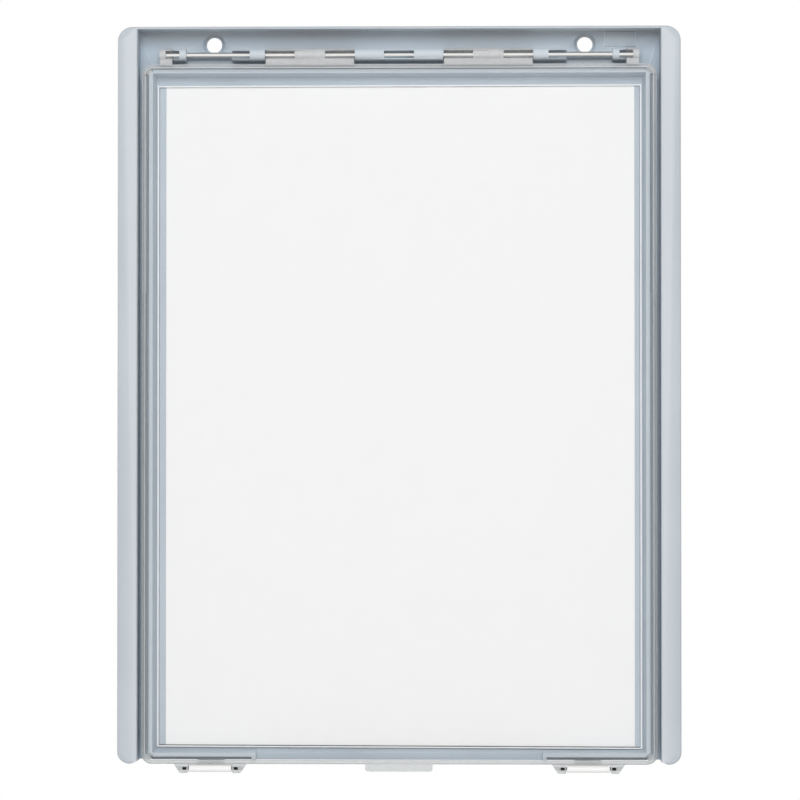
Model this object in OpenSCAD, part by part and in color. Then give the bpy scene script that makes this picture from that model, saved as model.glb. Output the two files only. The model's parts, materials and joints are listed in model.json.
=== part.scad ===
// Wall-hung notice board for one sheet of paper, with a clear cover hinged along the top.
// The board is drawn flat, with X to the right, Y up the wall and Z out of the wall, and on_wall() then
// stands it up: X to the right, Z up, and the wall behind it in the plane y = 0. The origin is midway
// between the two hanging holes. A name that ends in _d is a distance from the wall.

/* [Notice sheet] */
// Width of the sheet
sheet_w = 210; // [200:1:297]
// Height of the sheet
sheet_h = 297; // [250:1:420]
// Thickness of the sheet
sheet_t = 0.2; // [0.1:0.1:0.4]
// Thickness of the clear film
film_t = 0.5; // [0.3:0.1:0.8]
// How far the film reaches past the sheet on each side
film_side = 3.65; // [0:0.05:6]
// How far the film stops above the sheet's lower edge
film_rise = 0.4; // [0:0.1:0.8]
// Film's height less the sheet's height
film_extra = 0.1; // [0:0.1:2]
// Air between the floor, the sheet and the film
layer_gap = 0.2; // [0.1:0.05:0.3]

/* [Pocket] */
// Gap between the film and the pocket's side walls
pocket_side_gap = 0.3; // [0.2:0.1:2]
// Gap between the sheet and the pocket's lower wall
pocket_low_gap = 0.2; // [0.1:0.1:1]
// Free height above the sheet, for lifting it out
pocket_top_gap = 4; // [2:0.5:12]
// How far the pocket's walls lean back
seat_slope = 1.3; // [0.5:0.1:3]
// Width of the rib that the cover closes on
seat_rib_w = 1.8; // [1.2:0.1:3]
// Radius of the rib's outer corners
seat_r = 2.2; // [1:0.1:4]
// Distance of the rib's top from the wall
seat_d = 9.3; // [8.5:0.1:10.5]
// Half width of the gap in the lower rib
drain_half_w = 64; // [20:0.5:66]
// Width of the bars that close the groove beside that gap
drain_bar_w = 1.9; // [1:0.1:3]

/* [Tray] */
// Depth of the board from the wall to the front of the rails
board_d = 15; // [14:0.5:18]
// Distance of the floor's front from the wall
floor_d = 3.5; // [3:0.1:4]
// Thickness of the floor
floor_t = 2; // [1.5:0.1:2.4]
// Distance of the lower ledge's front from the wall
ledge_d = 5.4; // [5:0.1:6.4]
// How far the lower ledge stands past the rib
ledge_w = 1.5; // [1:0.1:3]
// Width of a side rail
rail_w = 8.9; // [7:0.1:14]
// Wall thickness of the rails
rail_wall = 2; // [1.5:0.1:2.5]
// Thickness of the top rim
rim_t = 1.1; // [1:0.1:2]
// Height of the rim's outer face above the hanging holes
rim_top = 6.9; // [6.5:0.1:12]
// Radius of the upper corners
corner_top_r = 6.5; // [3:0.5:8]
// Radius of the lower corners
corner_low_r = 5.5; // [3:0.5:6.5]
// Rounding of the front edges
edge_r = 0.9; // [0.4:0.1:1]
// Rounding of the rails' inner front edges
inner_edge_r = 0.6; // [0.3:0.1:1]
// How far a rail's inner corner is cut up at its lower end
rail_slant_h = 1.2; // [0.4:0.1:2]
// Width of that slanted cut
rail_slant_w = 3; // [1:0.5:5]
// Height of the tray's lower wall, behind the ledge
low_wall_h = 3.2; // [3:0.1:5]
// Width of the walls and ribs on the back
back_rib_w = 1.6; // [1.2:0.1:2.4]
// Number of rows of ribs on the back
back_rows = 3; // [1:1:5]
// Distance between the two upright ribs on the back
back_pitch = 110; // [60:5:160]
// Number of stiffening ribs inside each rail
rail_ribs = 5; // [2:1:8]

/* [Hanging holes] */
// Distance between the two holes
hole_pitch = 166.6; // [160.6:0.2:170.6]
// Diameter of the holes
hole_dia = 7; // [5:0.1:7]
// Diameter of the recess round each hole
recess_dia = 9.8; // [8:0.1:9.8]
// Depth of the recess
recess_depth = 1.2; // [0.5:0.1:1.6]
// Diameter of the bosses behind the holes
boss_dia = 13; // [11:0.5:13]

/* [Hinge] */
// Distance of the hinge axis below the hanging holes
hinge_drop = 5.05; // [5.05:0.05:5.4]
// Distance of the hinge axis from the wall
hinge_d = 7; // [6.8:0.1:7.4]
// Diameter of the hinge rod
rod_dia = 2.5; // [2:0.1:2.5]
// Clearance of the rod in its bores, all round
rod_fit = 0.05; // [0.02:0.01:0.1]
// Diameter of the knuckles
knuckle_dia = 5.6; // [5:0.1:5.8]
// Gap between neighbouring knuckles
knuckle_gap = 0.3; // [0.2:0.05:0.6]
// Height of the windows in the knuckles
window_h = 3.4; // [3:0.1:3.6]
// Half length of the tray's middle knuckle
middle_half = 19.8; // [12:0.2:22]
// Half length of its window
middle_window = 6.7; // [3:0.1:9]
// Length of the windows at both ends of a long knuckle
cover_window = 13; // [6:0.5:14]
// Length of the tray's outer knuckles
outer_knuckle = 14.8; // [12:0.1:15]
// Length of the open window at their outer ends
outer_window = 8; // [4:0.5:9]
// Distance of the tray's outer knuckles from the middle of the hanging holes
hole_clear = 8.4; // [8:0.1:10]
// Length of the tray's end knuckles
end_knuckle = 5.9; // [4:0.1:6]
// Length of the window in an end knuckle
end_window = 2.9; // [1:0.1:3]
// Length of the cover's end knuckles
tip_knuckle = 5.7; // [4:0.1:6]
// Distance of the cover's end knuckles from its sides
tip_inset = 7.75; // [6:0.25:8]
// Length of the window in a cover's end knuckle
tip_window = 3; // [1:0.1:3]
// Full ring that stays between a window and the opening behind a knuckle
window_land = 0.7; // [0.5:0.1:1]
// Bevel of the rod and the pins, as a share of their radius
pin_bevel = 0.3; // [0.1:0.05:0.5]
// How far each rod end stays inside the last knuckle
rod_inset = 0.8; // [0.3:0.1:1.5]
// Thickness of the arms that carry the cover's knuckles
arm_t = 4; // [3:0.1:4]

/* [Cover] */
// Thickness of the clear window
cover_t = 2; // [1.5:0.1:2.5]
// Gap between the window and the seat rib
seat_gap = 0.3; // [0.2:0.05:0.5]
// Thickness of the skirt at the sides and the top
skirt_t = 1.6; // [1.2:0.1:1.8]
// Thickness of the skirt along the bottom
skirt_low_t = 1.3; // [1:0.1:1.8]
// Width of the groove between the seat rib and the skirt
groove_w = 1.5; // [1.2:0.1:2]
// Gap between the seat rib and the skirt along the top
groove_top = 0.5; // [0.45:0.05:0.8]
// Gap between the tray's lower edge and the skirt
skirt_low_gap = 0.3; // [0.2:0.05:0.5]
// Gap between the cover and the side rails
cover_gap = 1.5; // [1:0.1:3]
// Distance of the skirt's edge from the wall at the sides
skirt_d = 5; // [4.8:0.1:5.4]
// Distance of the skirt's edge from the wall along the top
skirt_top_d = 6; // [5.9:0.1:6.6]
// Distance of the cover's upper edge below the hinge axis
cover_drop = 4.55; // [4.55:0.05:5]
// Radius of the cover's corners
cover_r = 4.7; // [3.5:0.1:5]
// Rounding of the cover's front edge
cover_edge_r = 0.7; // [0.3:0.1:0.9]
// Clearance between the inner rib and the seat rib
inner_rib_gap = 0.35; // [0.3:0.05:0.6]
// Length of the inner rib down each side
inner_rib_l = 97.7; // [60:0.1:120]
// Width of the finger tab
tab_w = 30; // [20:1:50]
// How far the finger tab stands below the cover
tab_l = 3.2; // [2:0.1:6]
// Radius of the finger tab's corners
tab_r = 1.2; // [0.5:0.1:2]

/* [Latches] */
// Distance of each latch's middle from the cover's side
latch_inset = 30.75; // [26:0.25:35]
// Width of a latch lever
lever_w = 19; // [14:0.5:21]
// Gap on each side of a lever
lever_gap = 0.35; // [0.3:0.05:0.5]
// Width of an ear where it meets the cover
ear_w = 6.5; // [5:0.1:7]
// Width of an ear at its lower end
ear_tip_w = 3.7; // [3.2:0.1:4]
// Distance of the latch pin below the cover's lower edge
pin_drop = 2.1; // [2.1:0.05:2.6]
// Distance of the latch pin from the wall
pin_d = 8; // [8:0.1:8.4]
// Diameter of the latch pin
pin_dia = 1.5; // [1.2:0.1:1.6]
// Clearance of the pin in its bores, all round
pin_fit = 0.05; // [0.02:0.01:0.1]
// Diameter of the lever's barrel
barrel_dia = 3.5; // [3.2:0.1:3.6]
// Depth of an ear from front to back
ear_d = 4.2; // [3.6:0.1:4.6]
// How far an ear reaches below the pin
ear_drop = 2.1; // [1.8:0.1:2.6]
// Radius of an ear's lower corners
ear_r = 0.8; // [0.3:0.1:1.2]
// Distance of the pin window from the ear's inner face
pin_window_x = 0.7; // [0.5:0.1:1]
// Width of the pin window
pin_window_w = 1.8; // [1.2:0.1:2]
// Height of the pin window
pin_window_h = 1.3; // [1:0.1:1.5]
// Thickness of the lever's arm
arm_lever_t = 1.6; // [1.2:0.1:1.8]
// Distance of the hook's middle behind the pin
hook_back = 6.2; // [6:0.05:6.3]
// Thickness of the hook
hook_t = 1.1; // [0.9:0.1:1.2]
// Width of the hook
hook_w = 12; // [8:0.5:14]
// Gap between the released hook and the tray's lower edge
hook_gap = 0.35; // [0.3:0.05:0.5]
// How far the lever's finger lip stands down behind the barrel
lip_h = 0.9; // [0.4:0.1:0.9]
// Height of the slot that the hook turns into
slot_h = 1.9; // [1.6:0.1:2.2]
// Distance of the slot's back from the wall
slot_back_d = 1; // [0.8:0.1:1]
// Distance of the slot's front from the wall
slot_front_d = 3.8; // [3.7:0.1:4]

/* [Hidden] */
$fn = 48;

// How far a cut runs past the face that it opens, and how deep a piece bites into what carries it
cut = 1;
bite = 0.5;
sides = [-1, 1];

// Places up and down the board, from the hanging holes
axis_y = -hinge_drop;
cover_top = axis_y - cover_drop;
seat_top = cover_top - skirt_t - groove_top;
pocket_top = seat_top - seat_rib_w - seat_slope;
sheet_top = pocket_top - pocket_top_gap;
sheet_low = sheet_top - sheet_h;
pocket_low = sheet_low - pocket_low_gap;
seat_low = pocket_low - seat_slope - seat_rib_w;
tray_low = seat_low - ledge_w;
cover_low = tray_low - skirt_low_gap - skirt_low_t;
rail_low = cover_low + skirt_low_gap;

// Half widths from the middle of the board
pocket_half = sheet_w / 2 + film_side + pocket_side_gap;
seat_half = pocket_half + seat_slope + seat_rib_w;
skirt_half = seat_half + groove_w;
cover_half = skirt_half + skirt_t;
rail_half = cover_half + cover_gap;
board_half = rail_half + rail_w;

// Distances from the wall
floor_back_d = floor_d - floor_t;
window_back_d = seat_d + seat_gap;
cover_front_d = window_back_d + cover_t;

// Hinge, from the middle outwards
knuckle_r = knuckle_dia / 2;
rod_bore_r = rod_dia / 2 + rod_fit;
outer_to = hole_pitch / 2 - hole_clear;
outer_from = outer_to - outer_knuckle;
long_from = middle_half + knuckle_gap;
long_to = outer_from - knuckle_gap;
tip_to = cover_half - tip_inset;
tip_from = tip_to - tip_knuckle;
end_to = tip_from - knuckle_gap;
end_from = end_to - end_knuckle;
rod_half = tip_to - rod_inset;

// Latch
latch_x = cover_half - latch_inset;
pin_y = cover_low - pin_drop;
pin_bore_r = pin_dia / 2 + pin_fit;
ear_in = lever_w / 2 + lever_gap;
pin_half = ear_in + ear_tip_w - lever_gap;
ear_low = pin_y - ear_drop;
hook_top = tray_low - hook_gap;
hook_d = pin_d - hook_back;

// Stands a piece that is drawn flat up against the wall
module on_wall() {
    rotate([90, 0, 0])
        children();
}

// Plate outline with round corners, standing on its lower edge
module outline(half, top, low, top_r, low_r) {
    translate([-half, low + low_r])
        square([half * 2, top - top_r - low - low_r]);
    translate([-half + top_r, low + low_r])
        square([(half - top_r) * 2, top - low - low_r]);
    translate([-half + low_r, low])
        square([(half - low_r) * 2, low_r * 2]);
    for (side = sides) {
        translate([side * (half - top_r), top - top_r])
            circle(r = top_r);
        translate([side * (half - low_r), low + low_r])
            circle(r = low_r);
    }
}

// Plate with round corners, between two distances from the wall
module plate(half, top, low, top_r, low_r, back, front) {
    translate([0, 0, back])
        linear_extrude(front - back)
            outline(half, top, low, top_r, low_r);
}

// The same plate with its front edge rounded all the way round
module soft_plate(half, top, low, top_r, low_r, back, front, edge) {
    plate(half, top, low, top_r, low_r, back, front - edge);
    plate(half - edge, top - edge, low + edge, top_r - edge, low_r - edge, back, front);
    translate([-half + top_r, top - edge, front - edge])
        rotate([90, 0, 90])
            linear_extrude((half - top_r) * 2)
                edge_section(edge);
    translate([half - low_r, low + edge, front - edge])
        rotate([90, 0, -90])
            linear_extrude((half - low_r) * 2)
                edge_section(edge);
    for (side = sides)
        mirror([side < 0 ? 1 : 0, 0, 0]) {
            translate([half - edge, top - top_r, front - edge])
                rotate([90, 0, 0])
                    linear_extrude(top - top_r - low - low_r)
                        edge_section(edge);
            translate([half - top_r, top - top_r, front - edge])
                edge_corner(top_r, edge);
            translate([half - low_r, low + low_r, front - edge])
                mirror([0, 1, 0])
                    edge_corner(low_r, edge);
        }
}

// Section of a rounded edge: a quarter of a disc
module edge_section(edge) {
    intersection() {
        circle(r = edge);
        square(edge + cut);
    }
}

// A quarter turn of a rounded edge
module edge_corner(corner, edge) {
    rotate_extrude(angle = 90)
        translate([corner - edge, 0])
            edge_section(edge);
}

// Box between two opposite corners
module block(from, to) {
    translate(from)
        cube(to - from);
}

// The same box on both sides of the middle, given by its distances from the middle
module both_sides(near, far, low, high, back, front) {
    for (side = sides)
        block([min(side * near, side * far), low, back], [max(side * near, side * far), high, front]);
}

// Rod or bore along the hinge or a latch pin
module bar_x(radius, from, to, y, depth) {
    translate([from, y, depth])
        rotate([0, 90, 0])
            cylinder(r = radius, h = to - from);
}

// Windows that open a pair of knuckles to the front
module front_windows(near, far) {
    both_sides(near, far, axis_y - window_h / 2, axis_y + window_h / 2, hinge_d, hinge_d + knuckle_dia);
}

// Openings that reach the bores from the back, under the solid fronts
module back_windows(near, far) {
    both_sides(near, far, axis_y - window_h / 2, axis_y + window_h / 2, -cut, hinge_d);
}

// Pair of tray knuckles on their feet
module tray_knuckles(near, far) {
    for (side = sides)
        bar_x(knuckle_r, min(side * near, side * far), max(side * near, side * far), axis_y, hinge_d);
    both_sides(near, far, axis_y - knuckle_r, axis_y + knuckle_r, floor_back_d, hinge_d);
}

// Pair of cover knuckles on the arms that run into the cover's upper edge
module cover_knuckles(near, far) {
    for (side = sides)
        bar_x(knuckle_r, min(side * near, side * far), max(side * near, side * far), axis_y, hinge_d);
    both_sides(near, far, cover_top - bite, axis_y, hinge_d - arm_t / 2, hinge_d + arm_t / 2);
}

// Outer shell of the tray: rails, top rim, floor and the walls that stand on the wall behind
module tray_shell() {
    difference() {
        soft_plate(board_half, rim_top, rail_low, corner_top_r, corner_low_r, 0, board_d, edge_r);
        // trough and pocket between the rails
        block([-rail_half, rail_low - cut, floor_d], [rail_half, rim_top - rim_t, board_d + cut]);
        // nothing of the tray hangs below its lower edge between the rails
        block([-rail_half, rail_low - cut, -cut], [rail_half, tray_low, board_d + cut]);
        for (side = sides) {
            rail_slant(side);
            inner_edge(side);
        }
        back_relief();
    }
}

// Slanted cut at the lower end of a rail, towards the cover
module rail_slant(side) {
    in = side * (rail_half - cut);
    high = rail_low + rail_slant_h;
    translate([0, 0, -cut])
        linear_extrude(board_d + cut * 2)
            polygon([[side * (rail_half + rail_slant_w), rail_low], [in, rail_low], [in, high],
                [side * rail_half, high]]);
}

// Strip that rounds a rail's inner front edge when it is cut away
module inner_edge(side) {
    length = rim_top - rim_t - rail_low + cut;
    translate([side * rail_half, rail_low - cut, board_d])
        mirror([side < 0 ? 1 : 0, 0, 0])
            difference() {
                block([-cut, 0, -inner_edge_r], [inner_edge_r, length, cut]);
                translate([inner_edge_r, -cut, -inner_edge_r])
                    rotate([-90, 0, 0])
                        cylinder(r = inner_edge_r, h = length + cut * 2);
            }
}

// Hollows on the back: inside both rails, and behind the floor between the ribs
module back_relief() {
    low = tray_low + low_wall_h;
    high = rim_top - rail_wall;
    rail_in = rail_half + rail_wall;
    rail_out = board_half - rail_wall;
    rail_low_in = rail_low + corner_low_r;
    rail_high_in = rim_top - corner_top_r;
    rail_step = (rail_high_in - rail_low_in + back_rib_w) / (rail_ribs + 1);
    for (side = sides)
        for (i = [0 : rail_ribs]) {
            from = rail_low_in + i * rail_step;
            block([min(side * rail_in, side * rail_out), from, -cut],
                [max(side * rail_in, side * rail_out), from + rail_step - back_rib_w, board_d - rail_wall]);
        }
    row_step = (high - low + back_rib_w) / (back_rows + 1);
    columns = [-rail_half, -back_pitch / 2, back_pitch / 2, rail_half];
    for (i = [0 : back_rows])
        for (j = [0 : len(columns) - 2]) {
            from_y = low + i * row_step;
            block([columns[j] + back_rib_w / 2, from_y, -cut],
                [columns[j + 1] - back_rib_w / 2, from_y + row_step - back_rib_w, floor_back_d]);
        }
}

// Cross-section of the pocket's wall: it leans back from the floor to the flat top that the cover meets
module seat_profile() {
    polygon([[0, floor_d], [seat_slope, seat_d], [seat_slope + seat_rib_w, seat_d],
        [seat_slope + seat_rib_w, floor_back_d], [0, floor_back_d]]);
}

// Pocket wall on all four sides, rounded at the outer corners
module seat_ring() {
    height = seat_top - seat_low;
    intersection() {
        plate(seat_half, seat_top, seat_low, seat_r, seat_r, floor_back_d, seat_d);
        union() {
            for (side = sides)
                translate([side * pocket_half, 0, 0])
                    mirror([side < 0 ? 1 : 0, 0, 0])
                        translate([0, seat_top, 0])
                            rotate([90, 0, 0])
                                linear_extrude(height)
                                    seat_profile();
            translate([-seat_half, pocket_top, 0])
                rotate([90, 0, 90])
                    linear_extrude(seat_half * 2)
                        seat_profile();
            translate([seat_half, pocket_low, 0])
                rotate([90, 0, -90])
                    linear_extrude(seat_half * 2)
                        seat_profile();
        }
    }
}

// Ledge below the pocket, and the sill that the film stands on where the rib is left out
module ledge() {
    intersection() {
        plate(seat_half, seat_top, tray_low, seat_r, seat_r, floor_back_d, ledge_d);
        block([-seat_half, tray_low, floor_back_d], [seat_half, pocket_low - seat_slope, ledge_d]);
    }
    sill_half = drain_half_w + bite;
    translate([sill_half, pocket_low, 0])
        rotate([90, 0, -90])
            linear_extrude(sill_half * 2)
                polygon([[0, floor_back_d], [0, floor_d], [seat_slope, ledge_d],
                    [seat_slope + bite, floor_back_d]]);
}

// Bar that closes the groove beside the gap in the lower rib
module drain_bar(side) {
    from = side * drain_half_w;
    to = side * (drain_half_w + drain_bar_w);
    block([min(from, to), tray_low, floor_back_d], [max(from, to), seat_low + bite, seat_d]);
}

// Slot in the tray's lower edge that a latch hook turns into
module hook_slot(x) {
    half = hook_w / 2 + lever_gap;
    block([x - half, tray_low - cut, slot_back_d], [x + half, tray_low + slot_h, slot_front_d]);
}

// Bores, windows and openings of the tray's knuckles
module tray_hinge_cuts() {
    bar_x(rod_bore_r, -end_to - knuckle_gap, end_to + knuckle_gap, axis_y, hinge_d);
    front_windows(0, middle_window);
    back_windows(middle_window + window_land, middle_half - window_land);
    outer_split = outer_to - outer_window;
    back_windows(outer_from + window_land, outer_split - window_land);
    front_windows(outer_split, outer_to + knuckle_gap);
    end_split = end_to - end_window;
    back_windows(end_from + window_land, end_split - window_land);
    front_windows(end_split, end_to + knuckle_gap);
}

// Hanging hole with the recess round it
module hanging_hole() {
    translate([0, 0, -cut])
        cylinder(d = hole_dia, h = floor_d + cut * 2);
    translate([0, 0, floor_d - recess_depth])
        cylinder(d = recess_dia, h = recess_depth + cut);
}

module tray() {
    color([0.78, 0.8, 0.82])
        on_wall()
            difference() {
                union() {
                    tray_shell();
                    difference() {
                        seat_ring();
                        // the lower rib stops short of the middle
                        block([-drain_half_w, seat_low - cut, floor_back_d - cut],
                            [drain_half_w, pocket_low, seat_d + cut]);
                    }
                    ledge();
                    tray_knuckles(0, middle_half);
                    tray_knuckles(outer_from, outer_to);
                    tray_knuckles(end_from, end_to);
                    for (side = sides) {
                        drain_bar(side);
                        translate([side * hole_pitch / 2, 0, 0])
                            cylinder(d = boss_dia, h = floor_d);
                    }
                }
                tray_hinge_cuts();
                for (side = sides) {
                    translate([side * hole_pitch / 2, 0, 0])
                        hanging_hole();
                    hook_slot(side * latch_x);
                }
            }
}

// Window of the cover with the skirt round it. The skirt is shallower along the top, so that it clears the
// seat rib as the cover swings
module cover_shell() {
    inside_r = cover_r - skirt_t;
    difference() {
        soft_plate(cover_half, cover_top, cover_low, cover_r, cover_r, skirt_d, cover_front_d,
            cover_edge_r);
        plate(skirt_half, cover_top - skirt_t, cover_low + skirt_low_t, inside_r, inside_r, skirt_d - cut,
            window_back_d);
        block([-cover_half - cut, cover_top - cover_r, skirt_d - cut],
            [cover_half + cut, cover_top + cut, skirt_top_d]);
    }
}

// Second rib inside the skirt, down the upper part of each side
module inner_rib(side) {
    from = side * (seat_half + inner_rib_gap);
    to = side * (skirt_half + bite);
    block([min(from, to), cover_top - cover_r - inner_rib_l, skirt_d],
        [max(from, to), cover_top - cover_r, window_back_d + bite]);
}

// Ear that carries one end of a latch pin: its outer side slants inwards, and both lower corners are round
module ear(x, side) {
    slant = atan2(cover_low - ear_low, ear_w - ear_tip_w);
    tangent = ear_r * tan(slant / 2);
    round_y = ear_low + ear_r;
    round_x = ear_tip_w - tangent;
    slant_x = ear_tip_w + tangent * cos(slant);
    slant_y = ear_low + tangent * sin(slant);
    translate([x + side * ear_in, 0, pin_d - ear_d / 2])
        mirror([side < 0 ? 1 : 0, 0, 0])
            linear_extrude(ear_d) {
                polygon([[0, cover_low + bite], [0, round_y], [ear_r, round_y], [ear_r, ear_low],
                    [round_x, ear_low], [round_x, round_y], [slant_x, slant_y], [ear_w, cover_low],
                    [ear_w, cover_low + bite]]);
                for (middle = [ear_r, round_x])
                    translate([middle, round_y])
                        circle(r = ear_r);
            }
}

// Small window in the front of an ear, in which the pin shows
module pin_window(x, side) {
    from = x + side * (ear_in + pin_window_x);
    to = from + side * pin_window_w;
    half = pin_window_h / 2;
    block([min(from, to), pin_y - half, pin_d], [max(from, to), pin_y + half, pin_d + ear_d]);
}

// Knuckles of the cover, with their bores, windows and openings
module cover_hinge() {
    window_in = long_from + cover_window;
    window_out = long_to - cover_window;
    tip_split = tip_from + tip_window;
    difference() {
        union() {
            cover_knuckles(long_from, long_to);
            cover_knuckles(tip_from, tip_to);
        }
        bar_x(rod_bore_r, -tip_to - cut, tip_to + cut, axis_y, hinge_d);
        front_windows(long_from - knuckle_gap, window_in);
        back_windows(window_in + window_land, window_out - window_land);
        front_windows(window_out, long_to + knuckle_gap);
        front_windows(tip_from - knuckle_gap, tip_split);
        back_windows(tip_split + window_land, tip_to + cut);
    }
}

// Pair of ears of one latch, with the pin's bore and windows
module ears(x) {
    reach = ear_in + ear_w + cut;
    difference() {
        for (side = sides)
            ear(x, side);
        bar_x(pin_bore_r, x - reach, x + reach, pin_y, pin_d);
        for (side = sides)
            pin_window(x, side);
    }
}

module clear_cover() {
    color([0.85, 0.93, 0.96, 0.4])
        on_wall()
            union() {
                cover_shell();
                plate(tab_w / 2, cover_low + cover_r, cover_low - tab_l, tab_r, tab_r, window_back_d,
                    cover_front_d);
                cover_hinge();
                for (side = sides) {
                    inner_rib(side);
                    ears(side * latch_x);
                }
            }
}

module hinge_rod() {
    color([0.82, 0.82, 0.82])
        on_wall()
            pin_x(rod_dia / 2, 0, rod_half, axis_y, hinge_d);
}

// Round pin with a small bevel at both ends
module pin_x(radius, middle, half, y, depth) {
    bevel = radius * pin_bevel;
    length = half * 2;
    translate([middle - half, y, depth])
        rotate([0, 90, 0])
            rotate_extrude()
                polygon([[0, 0], [radius - bevel, 0], [radius, bevel], [radius, length - bevel],
                    [radius - bevel, length], [0, length]]);
}

module notice_sheet() {
    back = floor_d + layer_gap;
    color([0.96, 0.96, 0.97])
        on_wall()
            block([-sheet_w / 2, sheet_low, back], [sheet_w / 2, sheet_top, back + sheet_t]);
}

module clear_film() {
    half = sheet_w / 2 + film_side;
    low = sheet_low + film_rise;
    back = floor_d + layer_gap * 2 + sheet_t;
    color([0.9, 0.95, 1, 0.3])
        on_wall()
            block([-half, low, back], [half, low + sheet_h + film_extra, back + film_t]);
}

// White lever: a barrel on the pin, an arm towards the wall, a hook that turns up into the tray's slot,
// and a lip below it for a fingertip. It is drawn released, with the hook just below the tray
module latch_lever(x) {
    half = lever_w / 2;
    hook_half = hook_w / 2;
    back = hook_d - hook_t / 2;
    arm_half = arm_lever_t / 2;
    lip_low = pin_y - arm_half - lip_h;
    color([0.97, 0.97, 0.97])
        on_wall()
            difference() {
                union() {
                    bar_x(barrel_dia / 2, x - half, x + half, pin_y, pin_d);
                    block([x - half, pin_y - arm_half, back], [x + half, pin_y + arm_half, pin_d]);
                    block([x - hook_half, pin_y, back], [x + hook_half, hook_top, back + hook_t]);
                    block([x - hook_half, lip_low, back], [x + hook_half, pin_y, back + hook_t]);
                }
                bar_x(pin_bore_r, x - half - cut, x + half + cut, pin_y, pin_d);
            }
}

module latch_lever_left() {
    latch_lever(-latch_x);
}

module latch_lever_right() {
    latch_lever(latch_x);
}

module latch_pin(x) {
    color([0.35, 0.35, 0.36])
        on_wall()
            pin_x(pin_dia / 2, x, pin_half, pin_y, pin_d);
}

module latch_pin_left() {
    latch_pin(-latch_x);
}

module latch_pin_right() {
    latch_pin(latch_x);
}

tray();
clear_cover();
hinge_rod();
notice_sheet();
clear_film();
latch_lever_left();
latch_lever_right();
latch_pin_left();
latch_pin_right();
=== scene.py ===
# %% [markdown]
# # A clear-fronted notice board
#
# The board is a pale plastic tray that hangs on a wall, with a clear cover hinged along its top on a thin
# steel rod. A sheet of paper stands in the tray under a clear film, and two white levers on the cover's
# lower edge hook into the tray. This script dresses the imported CAD model: it rounds the edges of the
# mouldings, remakes the paper and the film as thin sheets that aren't quite flat, and gives every piece
# its material. The CAD model is loaded first, and its box is kept for placing the floor.
#
# Sizes on the board are in millimetres, which MM turns into Blender's metres. Those of the camera, the
# floor and the lamps are in metres.

# %% Load the imported model
import json
import math

import bmesh
import bpy
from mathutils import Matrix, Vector

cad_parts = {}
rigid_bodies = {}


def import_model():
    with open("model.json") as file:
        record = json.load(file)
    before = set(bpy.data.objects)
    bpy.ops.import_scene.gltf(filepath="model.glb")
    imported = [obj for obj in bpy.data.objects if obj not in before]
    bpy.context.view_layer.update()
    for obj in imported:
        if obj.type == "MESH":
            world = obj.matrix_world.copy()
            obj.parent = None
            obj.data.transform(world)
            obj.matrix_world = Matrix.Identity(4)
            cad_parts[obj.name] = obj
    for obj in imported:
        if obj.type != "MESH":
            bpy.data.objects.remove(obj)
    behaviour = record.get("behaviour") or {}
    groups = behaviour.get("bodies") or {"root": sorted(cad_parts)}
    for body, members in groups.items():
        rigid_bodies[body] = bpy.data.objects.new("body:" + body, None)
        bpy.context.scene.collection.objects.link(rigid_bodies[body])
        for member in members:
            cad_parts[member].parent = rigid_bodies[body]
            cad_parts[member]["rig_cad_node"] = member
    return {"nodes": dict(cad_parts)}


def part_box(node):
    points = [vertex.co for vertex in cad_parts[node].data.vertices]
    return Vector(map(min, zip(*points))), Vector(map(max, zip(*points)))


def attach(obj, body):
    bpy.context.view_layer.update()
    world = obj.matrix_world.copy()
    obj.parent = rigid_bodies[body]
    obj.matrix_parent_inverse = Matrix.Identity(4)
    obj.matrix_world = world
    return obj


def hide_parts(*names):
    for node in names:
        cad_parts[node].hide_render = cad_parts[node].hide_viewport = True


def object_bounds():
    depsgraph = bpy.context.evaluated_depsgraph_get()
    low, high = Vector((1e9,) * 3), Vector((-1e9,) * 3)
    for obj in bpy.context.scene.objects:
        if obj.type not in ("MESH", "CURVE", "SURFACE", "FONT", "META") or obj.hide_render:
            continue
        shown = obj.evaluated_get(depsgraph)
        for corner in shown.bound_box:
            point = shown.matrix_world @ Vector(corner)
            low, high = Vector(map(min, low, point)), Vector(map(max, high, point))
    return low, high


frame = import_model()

MM = 0.001
cad_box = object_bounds()
print("CAD box, mm:", [[round(v / MM, 1) for v in corner] for corner in cad_box])

# %% [markdown]
# ## Colours and nodes
#
# A material could be put together by hand in the shader editor. Here each one is written out, so that it
# reads as a short list of steps. Colours are the hex values that a paint program shows, and one function
# turns them to the linear values that Blender mixes. A second function adds a node with its settings and
# links. The small ones after it stand for the steps that come back most: a blend of two colours, the
# product of two values, and a value that rises between two places on the piece.

# %% Helpers for materials
def linear(hex_colour):
    """The linear colour of an sRGB hex value."""
    parts = [int(hex_colour[i:i + 2], 16) / 255 for i in (0, 2, 4)]
    return [p / 12.92 if p <= 0.04045 else ((p + 0.055) / 1.055) ** 2.4 for p in parts] + [1.0]


def add_node(tree, kind, settings=(), **inputs):
    """Adds a node. An input is found by its name, or by its number after an underscore, and gets a value or
    a link from another node's output."""
    node = tree.nodes.new("ShaderNode" + kind)
    for name, value in dict(settings).items():
        setattr(node, name, value)
    for name, value in inputs.items():
        socket = node.inputs[int(name[1:])] if name[0] == "_" else node.inputs[name.replace("_", " ")]
        if isinstance(value, bpy.types.NodeSocket):
            tree.links.new(value, socket)
        else:
            socket.default_value = value
    return node


def new_material(name):
    """An empty node material, with its tree and its output."""
    material = bpy.data.materials.new(name)
    material.use_nodes = True
    material.node_tree.nodes.clear()
    return material, material.node_tree, add_node(material.node_tree, "OutputMaterial")


def per_mm(size_mm):
    """Scale of a noise whose blobs are this many millimetres across, on coordinates in metres."""
    return 1 / (size_mm * MM)


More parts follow.
